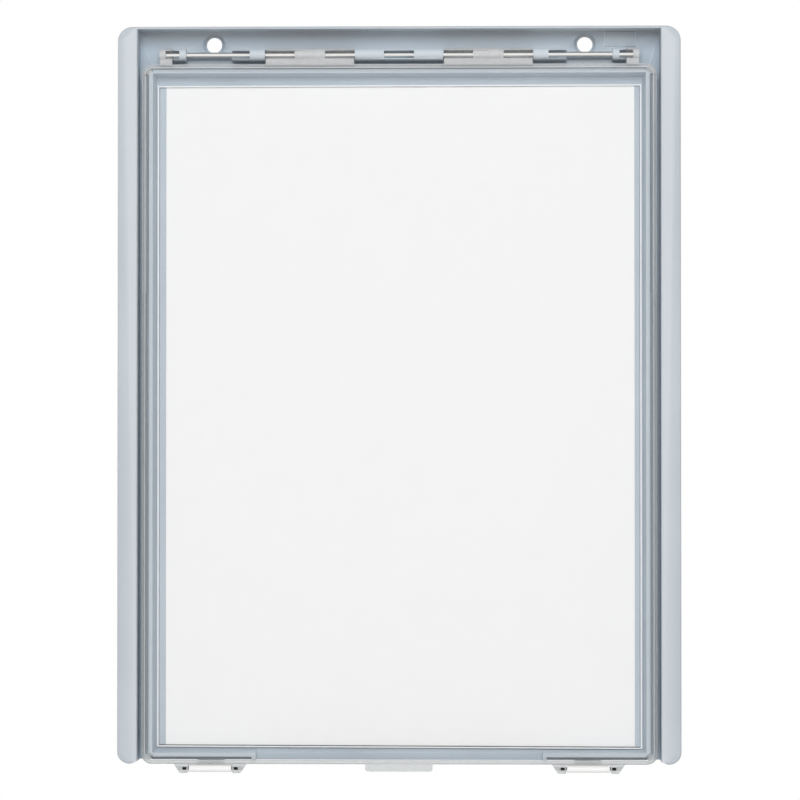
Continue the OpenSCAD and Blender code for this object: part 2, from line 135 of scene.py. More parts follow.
def blend(tree, amount, first, second):
    """A mix of two colours: the first one at 0, the second one at 1."""
    return add_node(tree, "Mix", {"data_type": "RGBA"}, _0=amount, _6=first, _7=second).outputs[2]


def times(tree, first, second):
    """The product of two values."""
    return add_node(tree, "Math", {"operation": "MULTIPLY"}, _0=first, _1=second).outputs[0]


def between(tree, value, start, end, top=1.0):
    """Rises from nothing at one place to its top value at another, both in millimetres."""
    return add_node(tree, "MapRange", Value=value, From_Min=start * MM, From_Max=end * MM,
                    To_Max=top).outputs["Result"]


print("white is", linear("ffffff"))

# %% [markdown]
# ## Pale moulded ABS of the tray
#
# The tray is injection-moulded ABS from a spark-eroded mould. That gives the eye a fine even grain and a
# satin sheen that is nowhere sharp. Its convex edges are painted paler, as a painted highlight where they
# catch the light. The grain could be modelled, but from here a bump shows the same. It is about 0.2 mm on
# the real tray, too fine to be seen, so it is drawn at 0.6 mm.
#
# Deep in the tray light bounces several times between the walls and takes on more of the plastic's blue
# than the few bounces of a render give. So that light is painted in: the plastic is painted a little bluer
# behind the fronts of the rails, but not under the top rim, where only one wall is near.

# %% Tray plastic
DEEP_FROM, DEEP_TO = -11.5, -8.5
RIM_FROM, RIM_TO = 4.0, -0.5
GRAIN, FLOW = 0.6, 45
PAINTED_EDGE_HIGHLIGHT = "d6dbdf"


def painted_bounce_tint_places(tree, place):
    """1 where bluer bounce light is painted deep in the tray, and 0 at its front and under the top rim."""
    split = add_node(tree, "SeparateXYZ", Vector=place)
    deep = between(tree, split.outputs["Y"], DEEP_FROM, DEEP_TO)
    below_rim = between(tree, split.outputs["Z"], RIM_FROM, RIM_TO)
    return times(tree, deep, below_rim)


def tray_abs(name, dark, light, bounce_tint_dark, bounce_tint_light):
    """Moulded ABS between a dark and a light tone, another pair painted deep in the tray as bounce light.
    """
    material, tree, output = new_material(name)
    place = add_node(tree, "TexCoord").outputs["Object"]
    grain = add_node(tree, "TexNoise", Vector=place, Scale=per_mm(GRAIN), Detail=3.0, Roughness=0.6)
    flow = add_node(tree, "TexNoise", Vector=place, Scale=per_mm(FLOW), Detail=2.0, Roughness=0.4)
    tone = add_node(tree, "MapRange", Value=flow.outputs["Fac"], From_Min=0.3, From_Max=0.7)
    front = blend(tree, tone.outputs["Result"], linear(dark), linear(light))
    bounce_tinted = blend(tree, tone.outputs["Result"], linear(bounce_tint_dark), linear(bounce_tint_light))
    # The bluer tone deep in the tray is painted bounce light, not the plastic's own colour.
    body = blend(tree, painted_bounce_tint_places(tree, place), front, bounce_tinted)
    # Convex edges, found by pointiness, are painted paler: a painted highlight, not wear.
    pointiness = add_node(tree, "NewGeometry").outputs["Pointiness"]
    edge = add_node(tree, "MapRange", Value=pointiness, From_Min=0.52, From_Max=0.60, To_Max=0.5)
    colour = blend(tree, edge.outputs["Result"], body, linear(PAINTED_EDGE_HIGHLIGHT))
    sheen = add_node(tree, "MapRange", Value=grain.outputs["Fac"], From_Min=0.3, From_Max=0.7,
                     To_Min=0.42, To_Max=0.52)
    bump = add_node(tree, "Bump", Height=grain.outputs["Fac"], Strength=0.12, Distance=0.05 * MM)
    shader = add_node(tree, "BsdfPrincipled", Base_Color=colour, IOR=1.53,
                      Roughness=sheen.outputs["Result"], Normal=bump.outputs["Normal"])
    tree.links.new(shader.outputs["BSDF"], output.inputs["Surface"])
    return material


tray_plastic = tray_abs("spark_eroded_moulded_abs", "b5bcc3", "bdc4ca", "b0bdc9", "b8c5d0")
edge_highlight_plastic = tray_abs("painted_highlight_moulded_abs", "dde4e9", "e8eef2", "dde4e9", "e8eef2")
print("tray plastics:", tray_plastic.name, edge_highlight_plastic.name)

# %% [markdown]
# ## Milky places and painted glow of the cover
#
# The mould of the cover is polished only where the notice shows. Along the hinge and along the lower edge
# the tool is left as it was machined, so the plastic there is milky: some of it scatters light like ground
# glass. Light that meets the cover's outer walls edgewise runs along inside them and comes out again at the
# outer and the inner edge of the walls. That glow is painted: two pale milky lines round the cover are
# painted highlights, and the walls are painted a little milky as a painted glow. The round corners are a
# little milky too. The window is clear all over.
#
# The walls also let less light through than the window does, so the gap beside them stays dark. That goes
# for the lamp's light at the two side walls and the top one, and for light that has bounced off the tray
# at all four.
#
# These places could be cut out as faces with materials of their own. They are found by sums instead,
# because their borders then stay soft: from the height, from the distance to the middle, and for the lines
# from the distance outside a frame whose corners are the centres of the cover's round corners.

# %% Helpers for places on the cover
LINE_CORE = 0.3


def larger(tree, *values):
    """The largest of several values."""
    total = values[0]
    for value in values[1:]:
        total = add_node(tree, "Math", {"operation": "MAXIMUM"}, _0=total, _1=value).outputs[0]
    return total


def line_at(tree, value, middle, half):
    """1 in the core of a narrow strip and 0 beyond its edges."""
    off = add_node(tree, "Math", {"operation": "SUBTRACT"}, _0=value, _1=middle * MM)
    away = add_node(tree, "Math", {"operation": "ABSOLUTE"}, _0=off.outputs[0])
    return between(tree, away.outputs[0], half, half * LINE_CORE)


def past(tree, value, start, turn=1):
    """How far a value lies past a place, and 0 before it. A turn of -1 looks the other way."""
    far = add_node(tree, "Math", {"operation": "MULTIPLY_ADD"}, _0=value, _1=turn, _2=-start * turn * MM)
    return add_node(tree, "Math", {"operation": "MAXIMUM"}, _0=far.outputs[0], _1=0.0).outputs[0]


# %% Milky places and painted glow
CORNER_X, CORNER_TOP, CORNER_LOW = 110.45, -14.3, -317.5
OUTER_EDGE, OUTER_HALF = 4.5, 0.35
INNER_EDGE, INNER_HALF = 3.15, 0.3
WALL_FROM, WALL_TO = INNER_EDGE - 0.3, INNER_EDGE + 0.1
HINGE_FROM, HINGE_TO, HINGE_MILK = -9.9, -9.5, 0.72
LOWER_FROM, LOWER_TO, LOWER_MILK = -320.2, -320.6, 0.5
CORNER_WIDTH, CORNER_MILK = 0.6, 0.3
LINE_HIGHLIGHT_PAINT, WALL_GLOW_PAINT = 0.75, 0.22
TONE_FROM, TONE_TO = -40, -20


def milk_and_painted_glow_places(tree, place):
    """Milk and painted glow on the cover, where its walls take light edgewise, and how near the hinge it
    is.
    """
    split = add_node(tree, "SeparateXYZ", Vector=place)
    height = split.outputs["Z"]
    aside = add_node(tree, "Math", {"operation": "ABSOLUTE"}, _0=split.outputs["X"]).outputs[0]
    sideways = past(tree, aside, CORNER_X)
    upright = larger(tree, past(tree, height, CORNER_TOP), past(tree, height, CORNER_LOW, -1))
    outward = add_node(tree, "CombineXYZ", X=sideways, Y=upright).outputs["Vector"]
    ring = add_node(tree, "VectorMath", {"operation": "LENGTH"}, _0=outward).outputs["Value"]
    # The two pale lines round the cover are painted highlights, drawn as milky strips.
    edge_lines = larger(tree, line_at(tree, ring, OUTER_EDGE, OUTER_HALF),
                        line_at(tree, ring, INNER_EDGE, INNER_HALF))
    lines = times(tree, edge_lines, LINE_HIGHLIGHT_PAINT)
    wall = between(tree, ring, WALL_FROM, WALL_TO)
    bounced = times(tree, wall, add_node(tree, "LightPath").outputs["Is Diffuse Ray"])
    edgewise = larger(tree, between(tree, sideways, WALL_FROM, WALL_TO), bounced,
                      between(tree, height, CORNER_TOP + WALL_FROM, CORNER_TOP + WALL_TO))
    # The walls get a little milk as a painted glow.
    glow = times(tree, wall, WALL_GLOW_PAINT)
    corner = times(tree, between(tree, sideways, 0, CORNER_WIDTH),
                   between(tree, upright, 0, CORNER_WIDTH, CORNER_MILK))
    milk_and_painted_glow = larger(tree, between(tree, height, HINGE_FROM, HINGE_TO, HINGE_MILK),
                  between(tree, height, LOWER_FROM, LOWER_TO, LOWER_MILK), corner, lines, glow)
    cloud = add_node(tree, "TexNoise", Vector=place, Scale=per_mm(2.5), Detail=3.0)
    uneven = add_node(tree, "MapRange", Value=cloud.outputs["Fac"], To_Min=0.85, To_Max=1.15)
    amount = add_node(tree, "Math", {"operation": "MULTIPLY", "use_clamp": True}, _0=milk_and_painted_glow,
                      _1=uneven.outputs["Result"]).outputs[0]
    return amount, edgewise, between(tree, height, TONE_FROM, TONE_TO)


# %% [markdown]
# ## Clear plastics
#
# The cover is polished clear polycarbonate and the film is clear polyester. Both are glass-like shaders
# with the index of refraction of the plastic, so that thick edges bend what is behind them and show the
# dark and bright lines of the photograph. A plain transparent shader would be quicker, but it has no such
# lines. Real glass shaders stop Blender's lamps from reaching the paper, so the shadow and diffuse rays
# pass straight through as they would through a thin window. Very faint waves in the surface and a slight
# haze keep it from looking like optical glass.

# %% Cover and film plastics
TINT = "fefefe"
HAZE_PATCH = 12
MILK_LOW, MILK_HIGH = "c9cccd", "d7d8d9"
EDGEWISE = "b2b6b8"


def clear_plastic(name, index, haze, wave, wave_depth, passed, moulded=False):
    """Clear plastic with waves in millimetres, which lets a colour pass, and milky places if moulded."""
    material, tree, output = new_material(name)
    place = add_node(tree, "TexCoord").outputs["Object"]
    waves = add_node(tree, "TexNoise", Vector=place, Scale=per_mm(wave), Detail=1.0)
    smear = add_node(tree, "TexNoise", Vector=place, Scale=per_mm(HAZE_PATCH), Detail=4.0, Roughness=0.6)
    haze_map = add_node(tree, "MapRange", Value=smear.outputs["Fac"], From_Min=0.35, From_Max=0.75,
                        To_Min=haze * 0.5, To_Max=haze)
    bump = add_node(tree, "Bump", Height=waves.outputs["Fac"], Strength=1.0, Distance=wave_depth * MM)
    seen = add_node(tree, "BsdfPrincipled", Base_Color=linear(TINT), IOR=index,
                    Roughness=haze_map.outputs["Result"], Transmission_Weight=1.0,
                    Normal=bump.outputs["Normal"]).outputs["BSDF"]
    window = add_node(tree, "BsdfTransparent", Color=linear(passed))
    if moulded:
        amount, edgewise, near_hinge = milk_and_painted_glow_places(tree, place)
        tone = blend(tree, near_hinge, linear(MILK_LOW), linear(MILK_HIGH))
        milk_and_glow_shader = add_node(tree, "BsdfPrincipled", Base_Color=tone, Roughness=0.4, IOR=1.5)
        seen = add_node(tree, "MixShader", _0=amount, _1=seen, _2=milk_and_glow_shader.outputs["BSDF"]).outputs["Shader"]
        dimmed = blend(tree, edgewise, linear(passed), linear(EDGEWISE))
        tree.links.new(dimmed, window.inputs["Color"])
    ray = add_node(tree, "LightPath")
    straight = larger(tree, ray.outputs["Is Shadow Ray"], ray.outputs["Is Diffuse Ray"])
    mixed = add_node(tree, "MixShader", _0=straight, _1=seen, _2=window.outputs["BSDF"])
    tree.links.new(mixed.outputs["Shader"], output.inputs["Surface"])
    return material


cover_plastic = clear_plastic("polished_clear_polycarbonate", index=1.585, haze=0.03, wave=60,
                              wave_depth=0.01, passed="fbfbfb", moulded=True)
film_plastic = clear_plastic("clear_polyester_film", index=1.6, haze=0.04, wave=35, wave_depth=0.02,
                             passed="fdfdfd")
print("clear plastics:", cover_plastic.name, film_plastic.name)

# %% [markdown]
# ## Cut edge of the film
#
# The film is cut with a knife. The cut face is rough and white, and it glows too, because light that runs
# along inside the film comes out there, and the strip beside it lies in shade. The glass-like shader can't
# show that in so thin a sheet, so both are painted as narrow strips round the film: a matt white one with
# the fine ridges of the knife, partly the rough cut and partly a painted glow, and painted shade strips
# that let only part of the light through.

# %% Film edge materials
def knife_cut_edge_and_glow():
    """Matt white with the ridges of the knife, partly a painted glow."""
    material, tree, output = new_material("knife_cut_film_edge_and_painted_glow")
    place = add_node(tree, "TexCoord").outputs["Object"]
    ridges = add_node(tree, "TexNoise", Vector=place, Scale=per_mm(1.5), Detail=3.0)
    colour = blend(tree, ridges.outputs["Fac"], linear("eef1f3"), linear("fdfdfe"))
    bump = add_node(tree, "Bump", Height=ridges.outputs["Fac"], Strength=0.2, Distance=0.03 * MM)
    shader = add_node(tree, "BsdfPrincipled", Base_Color=colour, Roughness=0.55, IOR=1.5,
                      Normal=bump.outputs["Normal"])
    tree.links.new(shader.outputs["BSDF"], output.inputs["Surface"])
    return material


def painted_shade_strip(name, dark, light):
    """A painted shade strip that lets light through in patches between two tones."""
    material, tree, output = new_material(name)
    place = add_node(tree, "TexCoord").outputs["Object"]
    patch = add_node(tree, "TexNoise", Vector=place, Scale=per_mm(20), Detail=2.0)
    spread = add_node(tree, "MapRange", Value=patch.outputs["Fac"], From_Min=0.35, From_Max=0.65)
    colour = blend(tree, spread.outputs["Result"], linear(dark), linear(light))
    shader = add_node(tree, "BsdfTransparent", Color=colour)
    tree.links.new(shader.outputs["BSDF"], output.inputs["Surface"])
    return material


cut_edge_and_glow = knife_cut_edge_and_glow()
painted_shade_low_strip = painted_shade_strip("painted_shade_beside_lower_film_cut", "9a9ea1", "b0b4b6")
painted_shade_side_strip = painted_shade_strip("painted_shade_beside_side_film_cut", "ececee", "f4f4f5")
print("film edges:", cut_edge_and_glow.name, painted_shade_low_strip.name, painted_shade_side_strip.name)

# %% [markdown]
# ## Metal of the rod and the pins
#
# The hinge rod is drawn stainless steel: drawing it through a die leaves fine lines along it, so its
# highlight is long and slightly streaked. The pins are steel painted near black, as painted shade in the
# small windows of the ears. Both use the metal shader with its usual index. The lines could come from an
# anisotropic highlight, but a noise that is stretched along the rod also shows them up close.

# %% Rod and pin steels
ALONG = (0.02, 1, 1)


def drawn_steel(name, dark, light, smooth, rough, line):
    """Steel between two tones and two roughnesses, with lines of a width in millimetres along it."""
    material, tree, output = new_material(name)
    place = add_node(tree, "TexCoord").outputs["Object"]
    along = add_node(tree, "Mapping", Vector=place, Scale=ALONG)
    lines = add_node(tree, "TexNoise", Vector=along.outputs["Vector"], Scale=per_mm(line), Detail=3.0)
    patch = add_node(tree, "TexNoise", Vector=place, Scale=per_mm(8), Detail=2.0)
    colour = blend(tree, patch.outputs["Fac"], linear(dark), linear(light))
    sheen = add_node(tree, "MapRange", Value=lines.outputs["Fac"], From_Min=0.3, From_Max=0.7,
                     To_Min=smooth, To_Max=rough)
    bump = add_node(tree, "Bump", Height=lines.outputs["Fac"], Strength=0.2, Distance=0.01 * MM)
    shader = add_node(tree, "BsdfPrincipled", Base_Color=colour, Metallic=1.0,
                      Roughness=sheen.outputs["Result"], Normal=bump.outputs["Normal"])
    tree.links.new(shader.outputs["BSDF"], output.inputs["Surface"])
    return material


rod_steel = drawn_steel("drawn_stainless_rod", "e2e1de", "f2f1ee", smooth=0.04, rough=0.08, line=0.25)
# The pins are painted near black: painted shade for the ears' small windows.
shade_dark_pin_steel = drawn_steel("painted_shade_dark_steel_pin", "2a2a2c", "414143", smooth=0.35, rough=0.5, line=0.2)
print("steels:", rod_steel.name, shade_dark_pin_steel.name)

# %% [markdown]
# ## Paper and white acetal
#
# The sheet is plain copier paper. Its fibres make soft clouds, which are paler and darker by about one
# part in a hundred, and a fine tooth that takes away all shine. The levers are moulded white acetal, a
# slippery plastic with a soft wax-like gloss. A flat white would do for both from afar. The clouds and the
# grain are there so that a close view doesn't look like painted card.

# %% Paper and lever plastic
def copier_paper():
    """White paper with clouds of fibres and a fine tooth."""
    material, tree, output = new_material("plain_copier_paper")
    place = add_node(tree, "TexCoord").outputs["Object"]
    cloud = add_node(tree, "TexNoise", Vector=place, Scale=per_mm(6), Detail=4.0, Roughness=0.6)
    tooth = add_node(tree, "TexNoise", Vector=place, Scale=per_mm(0.5), Detail=2.0)
    colour = blend(tree, cloud.outputs["Fac"], linear("f9f9f9"), linear("fdfdfd"))
    bump = add_node(tree, "Bump", Height=tooth.outputs["Fac"], Strength=0.15, Distance=0.03 * MM)
    shader = add_node(tree, "BsdfPrincipled", Base_Color=colour, Roughness=0.9, IOR=1.45,
                      Normal=bump.outputs["Normal"])
    tree.links.new(shader.outputs["BSDF"], output.inputs["Surface"])
    return material


def white_acetal():
    """White plastic with a fine grain and a soft gloss."""
    material, tree, output = new_material("moulded_white_acetal")
    place = add_node(tree, "TexCoord").outputs["Object"]
    grain = add_node(tree, "TexNoise", Vector=place, Scale=per_mm(0.8), Detail=3.0)
    cloud = add_node(tree, "TexNoise", Vector=place, Scale=per_mm(9), Detail=2.0)
    colour = blend(tree, cloud.outputs["Fac"], linear("f6f5f4"), linear("fcfbfa"))
    sheen = add_node(tree, "MapRange", Value=grain.outputs["Fac"], To_Min=0.3, To_Max=0.42)
    bump = add_node(tree, "Bump", Height=grain.outputs["Fac"], Strength=0.1, Distance=0.03 * MM)
    shader = add_node(tree, "BsdfPrincipled", Base_Color=colour, IOR=1.48,
                      Roughness=sheen.outputs["Result"], Normal=bump.outputs["Normal"])
    tree.links.new(shader.outputs["BSDF"], output.inputs["Surface"])
    return material


sheet_paper = copier_paper()
lever_plastic = white_acetal()
print("paper and lever:", sheet_paper.name, lever_plastic.name)

# %% [markdown]
# ## Rounded edges on the mouldings
#
# No moulded edge is sharp: the tool leaves a radius of a tenth or two of a millimetre, and it is that
# radius that catches the light along each step of the tray and each rib of the clear cover. The CAD
# solids keep their edges sharp, so each moulding is shown by a copy of its CAD node. The copy's loose
# triangles are merged, its long sharp edges are selected by their angle, length and place, and a narrow
# bevel rounds them. The short edges of the hinge knuckles stay as they are, because a bevel would fold
# over itself there. A bevel node in the material would be less work, but it rounds only the light and not
# the shape. Weighted normals keep the large faces flat to the eye.

# %% Helpers for rounded copies
MERGE = 0.002 * MM
SHARP = math.radians(35)
SHORTEST = 1.0 * MM
KNUCKLES_LOW = -8.2 * MM
KNUCKLES_HIGH = -2.0 * MM
HINGE_HALF = 110 * MM
ROUNDING = 0.15 * MM
SMOOTH = math.radians(32)


def only(piece):
    """Selects this piece and nothing else."""
    bpy.ops.object.select_all(action="DESELECT")
    piece.select_set(True)
    bpy.context.view_layer.objects.active = piece


def dress(piece, material):
    """Gives a piece one material."""
    piece.data.materials.clear()
    piece.data.materials.append(material)


def select_long_edges(piece, hinge_too):
    """Selects the sharp edges that are long enough to be rounded, and says how many there are."""
    mesh = bmesh.from_edit_mesh(piece.data)
    chosen = 0
    for edge in mesh.edges:
        middle = (edge.verts[0].co + edge.verts[1].co) / 2
        at_hinge = KNUCKLES_LOW < middle.z < KNUCKLES_HIGH and abs(middle.x) < HINGE_HALF
        long_and_sharp = edge.calc_face_angle(0) > SHARP and edge.calc_length() > SHORTEST
        if long_and_sharp and (hinge_too or not at_hinge):
            edge.select_set(True)
            chosen += 1
    bmesh.update_edit_mesh(piece.data)
    return chosen


def rounded_copy(node, name, material, hinge_too=False):
    """A copy of a CAD node with its long sharp edges rounded, which stands for that node."""
    only(frame["nodes"][node])
    bpy.ops.object.duplicate()
    piece = bpy.context.view_layer.objects.active
    piece.name = name
    bpy.ops.object.mode_set(mode="EDIT")
    bpy.ops.mesh.select_all(action="SELECT")
    bpy.ops.mesh.remove_doubles(threshold=MERGE)
    bpy.ops.mesh.select_mode(type="EDGE")
    bpy.ops.mesh.select_all(action="DESELECT")
    chosen = select_long_edges(piece, hinge_too)
    bpy.ops.mesh.bevel(offset=ROUNDING, segments=2, affect="EDGES", clamp_overlap=False)
    bpy.ops.object.mode_set(mode="OBJECT")
    bpy.ops.object.shade_smooth_by_angle(angle=SMOOTH)
    bpy.ops.object.modifier_add(type="WEIGHTED_NORMAL")
    piece.modifiers[-1].keep_sharp = True
    bpy.ops.object.modifier_apply(modifier=piece.modifiers[-1].name)
    del piece["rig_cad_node"]
    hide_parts(node)
    dress(piece, material)
    print(name, "rounds", chosen, "edges and has", len(piece.data.polygons), "faces")


# %% Rounded copies of the tray, the cover and the levers
rounded_copy("tray", "tray_moulding", tray_plastic)
rounded_copy("clear_cover", "cover_moulding", cover_plastic)
rounded_copy("latch_lever_left", "lever_left", lever_plastic, hinge_too=True)
rounded_copy("latch_lever_right", "lever_right", lever_plastic, hinge_too=True)

# %% [markdown]
# ## Rod and pins
#
# The rod and the two pins are plain round bars. Copies with rounded ends would look no better, because all
# their ends lie inside the knuckles and the ears. So the CAD nodes are shown as they are and only get their
# steel.

# %% Rod and pins
for node, material in (("hinge_rod", rod_steel), ("latch_pin_left", shade_dark_pin_steel),
                       ("latch_pin_right", shade_dark_pin_steel)):
    dress(frame["nodes"][node], material)
    print(node, "is", material.name)

# %% [markdown]
# ## Paper sheet and clear film
#
# Both are thin sheets that stand on the tray's sill. A sheet of paper that stands on edge bellies
# forwards by a few tenths of a millimetre, and the film, cut by hand, is a little out of square: its
# lower edge falls to the right, which is what makes the slightly crooked double line above the sill. A
# cloth simulation could bend them, but they are stiff and move very little, so a curve does it. Each
# sheet starts as a plane that is subdivided, its rows are moved, and Solidify gives it its thickness.

# %% Thin sheets
SHEET_LOW, SHEET_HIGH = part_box("notice_sheet")
FILM_LOW, FILM_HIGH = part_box("clear_film")
GRID_CUTS = 30


def thin_sheet(name, low, high):
    """An upright plane in the XZ plane, halfway between two corners, cut into a grid."""
    middle = (Vector(low) + Vector(high)) / 2
    bpy.ops.object.select_all(action="DESELECT")
    bpy.ops.mesh.primitive_plane_add(size=1, location=(0, 0, 0))
    piece = bpy.context.active_object
    piece.name = name
    bpy.ops.object.mode_set(mode="EDIT")
    bpy.ops.mesh.select_all(action="SELECT")
    bpy.ops.mesh.subdivide(number_cuts=GRID_CUTS)
    bpy.ops.transform.rotate(value=math.radians(-90), orient_axis="X", center_override=(0, 0, 0))
    bpy.ops.transform.resize(value=(high[0] - low[0], 1, high[2] - low[2]), center_override=(0, 0, 0))
    bpy.ops.transform.translate(value=middle)
    bpy.ops.object.mode_set(mode="OBJECT")
    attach(piece, "tray")
    return piece


paper = thin_sheet("paper_sheet", SHEET_LOW, SHEET_HIGH)
film = thin_sheet("clear_front_film", FILM_LOW, FILM_HIGH)
print("film from", round(FILM_LOW.z / MM, 1), "to", round(FILM_HIGH.z / MM, 1), "mm")

# %% [markdown]
# The strips along the film's edges are made by insetting the whole grid three times, which leaves a ring of
# narrow faces each time. They get their materials before the film is bent and thickened, while they are
# still easy to find by their distance from the border. The outermost ring is painted shade at the lower
# edge only, for the film's shadow on the sill, and clear elsewhere.

# %% Strips along the film's edges
RINGS = (0.2, 0.55, 0.45)
CLEAR, CUT_EDGE_AND_GLOW, LOW_SHADE_STRIP, SIDE_SHADE_STRIP = range(4)

dress(film, film_plastic)
for extra in (cut_edge_and_glow, painted_shade_low_strip, painted_shade_side_strip):
    film.data.materials.append(extra)
only(film)
bpy.ops.object.mode_set(mode="EDIT")
bpy.ops.mesh.select_all(action="SELECT")
for width in RINGS:
    bpy.ops.mesh.inset(thickness=width * MM, use_boundary=True)
bpy.ops.object.mode_set(mode="OBJECT")
counts = [0, 0, 0, 0]
for face in film.data.polygons:
    at = face.center
    aside = min(at.x - FILM_LOW.x, FILM_HIGH.x - at.x) / MM
    under = (at.z - FILM_LOW.z) / MM
    inside = min(aside, under, (FILM_HIGH.z - at.z) / MM)
    lowest = under <= inside and aside > sum(RINGS)
    # At the lower edge both dark rings are painted shade: the shadow on the sill and the shade beside the
    # cut.
    if inside < RINGS[0]:
        face.material_index = LOW_SHADE_STRIP if lowest else CLEAR
    elif inside < sum(RINGS[:2]):
        face.material_index = CUT_EDGE_AND_GLOW
    elif inside < sum(RINGS):
        face.material_index = LOW_SHADE_STRIP if lowest else SIDE_SHADE_STRIP
    counts[face.material_index] += 1
print("faces of film, cut edge, lower strip, side strip:", counts)

# %% [markdown]
# Now both sheets are bent a little. The paper also stands a third of a millimetre to the right of the
# middle, and its left corner is lifted a little, as the photograph shows.

# %% Bend the sheets
PAPER_BELLY, PAPER_ASIDE, PAPER_LIFT = 0.15, 0.35, 0.7
FILM_BELLY, FILM_WAVE, WAVE_TURN = 0.2, 0.12, 9
FILM_DROP, FILM_SLANT_LOW, FILM_SLANT_HIGH = 0.15, 0.7, 0.4


def along_sheet(vertex, low, high):
    """How far across and up its sheet a vertex lies, both from 0 to 1."""
    return (vertex.co.x - low.x) / (high.x - low.x), (vertex.co.z - low.z) / (high.z - low.z)


for vertex in paper.data.vertices:
    across, up = along_sheet(vertex, SHEET_LOW, SHEET_HIGH)
    vertex.co.y -= PAPER_BELLY * math.sin(math.pi * up) * math.sin(math.pi * across) * MM
    vertex.co.x += PAPER_ASIDE * MM
    vertex.co.z += (1 - across) * PAPER_LIFT * MM * (1 - up)
for vertex in film.data.vertices:
    across, up = along_sheet(vertex, FILM_LOW, FILM_HIGH)
    forward = FILM_BELLY * math.sin(math.pi * up) * math.sin(math.pi * across)
    forward += FILM_WAVE * math.sin(across * WAVE_TURN) * (1 - up) ** 3
    vertex.co.y -= forward * MM
    vertex.co.z -= (FILM_DROP + (across - 0.5) * FILM_SLANT_LOW) * MM * (1 - up)
    vertex.co.z += (across - 0.5) * FILM_SLANT_HIGH * MM * up
print("paper comes forward by", PAPER_BELLY, "mm and the film by", FILM_BELLY, "mm")

# %% Thicken the sheets
PAPER_THICK, FILM_THICK = 0.1, 0.3

for piece, thick in ((paper, PAPER_THICK), (film, FILM_THICK)):
    only(piece)
    bpy.ops.object.modifier_add(type="SOLIDIFY")
    piece.modifiers[-1].thickness = thick * MM
    piece.modifiers[-1].offset = 0
    bpy.ops.object.modifier_apply(modifier=piece.modifiers[-1].name)
    bpy.ops.object.shade_smooth_by_angle(angle=math.radians(30))
    print(piece.name, "is", thick, "mm thick")
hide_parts("notice_sheet")
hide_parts("clear_film")
dress(paper, sheet_paper)

# %% [markdown]
# ## Blank pad
#
# At the right of the trough the tray has a slightly raised blank pad of its own plastic, a third of a
# millimetre high. A picture of it on the tray's faces wouldn't catch the light at its edges, so it is a
# piece. A cube is stretched to its size in edit mode, and the edges of its front are rounded with a bevel,
# whose side faces are painted pale as a highlight. Its back lies a fifth of a millimetre inside the tray.

# %% Raised pad in the trough
PAD_X = (91.9, 106.1)
PAD_Z = (-1.3, 5.7)
PAD_Y = (-3.85, -3.3)
PAD_ROUNDING = 0.3 * MM
pad_sides = (PAD_X, PAD_Y, PAD_Z)

bpy.ops.object.select_all(action="DESELECT")
bpy.ops.mesh.primitive_cube_add(size=1, location=(0, 0, 0))
pad = bpy.context.active_object
pad.name = "blank_pad"
bpy.ops.object.mode_set(mode="EDIT")
bpy.ops.mesh.select_all(action="SELECT")
bpy.ops.transform.resize(value=[(b - a) * MM for a, b in pad_sides], center_override=(0, 0, 0))
bpy.ops.transform.translate(value=[(a + b) / 2 * MM for a, b in pad_sides])
bpy.ops.mesh.select_all(action="DESELECT")
mesh = bmesh.from_edit_mesh(pad.data)
for edge in mesh.edges:
    edge.select_set(all(v.co.y < sum(PAD_Y) / 2 * MM for v in edge.verts))
bmesh.update_edit_mesh(pad.data)
bpy.ops.mesh.bevel(offset=PAD_ROUNDING, segments=2, affect="EDGES")
bpy.ops.object.mode_set(mode="OBJECT")
bpy.ops.object.shade_smooth_by_angle(angle=SMOOTH)
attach(pad, "tray")
dress(pad, tray_plastic)
pad.data.materials.append(edge_highlight_plastic)
# The pad's slanting side faces get the paler colour as a painted highlight.
for face in pad.data.polygons:
    slanting = 0.2 < abs(face.normal.x) < 0.98 and abs(face.normal.z) < 0.2
    face.material_index = 1 if slanting else 0
print("pad has", len(pad.data.polygons), "faces")

# %% [markdown]
# ## Camera
#
# The photograph was taken with a long lens from about a metre and a half, almost square on: the board's
# right side and its lower edge are a third of a percent larger than the others, which puts the camera
# about a degree to the right of the middle and a degree below it. It looks back at the board's middle. A
# shift of the lens could give the same frame, but not the same slant of the board's sides.

# %% Camera
CAMERA_BACK = 1.507
CAMERA_TURN = math.radians(1.23)
CAMERA_TILT = math.radians(0.85)
VIEW_ANGLE = math.radians(13.54)
MIDDLE = Vector((0.0004, -0.008, -0.1598))

toward = Vector((math.sin(CAMERA_TURN) * math.cos(CAMERA_TILT),
                 -math.cos(CAMERA_TURN) * math.cos(CAMERA_TILT),
                 -math.sin(CAMERA_TILT)))
bpy.ops.object.camera_add(location=MIDDLE + toward * CAMERA_BACK,
                          rotation=(math.pi / 2 + CAMERA_TILT, 0, CAMERA_TURN))
camera = bpy.context.active_object
camera.data.sensor_fit = "HORIZONTAL"
camera.data.angle = VIEW_ANGLE
bpy.context.scene.camera = camera
print("lens, mm:", round(camera.data.lens, 1))

# %% [markdown]
# ## Floor
#
# The board hangs clear of a pale floor. The floor could be left out, but then nothing would throw light up
# at the board's lower edge. It is matt near the board, so that it keeps the board's shadow, and fades into
# the white of the background farther off, for the camera and for rays that come off metal or through clear
# plastic.

# %% Floor
FLOOR_DROP = 0.1
FLOOR_RADIUS = 1.2
FADE_FROM, FADE_TO = 0.35, 0.75
WHITE = (1, 1, 1, 1)
SEEN_RAYS = ("Is Camera Ray", "Is Glossy Ray", "Is Transmission Ray")


def rays_of(tree, kinds):
    """1 for rays of these kinds and 0 for all others."""
    ray = add_node(tree, "LightPath")
    return larger(tree, *(ray.outputs[kind] for kind in kinds))


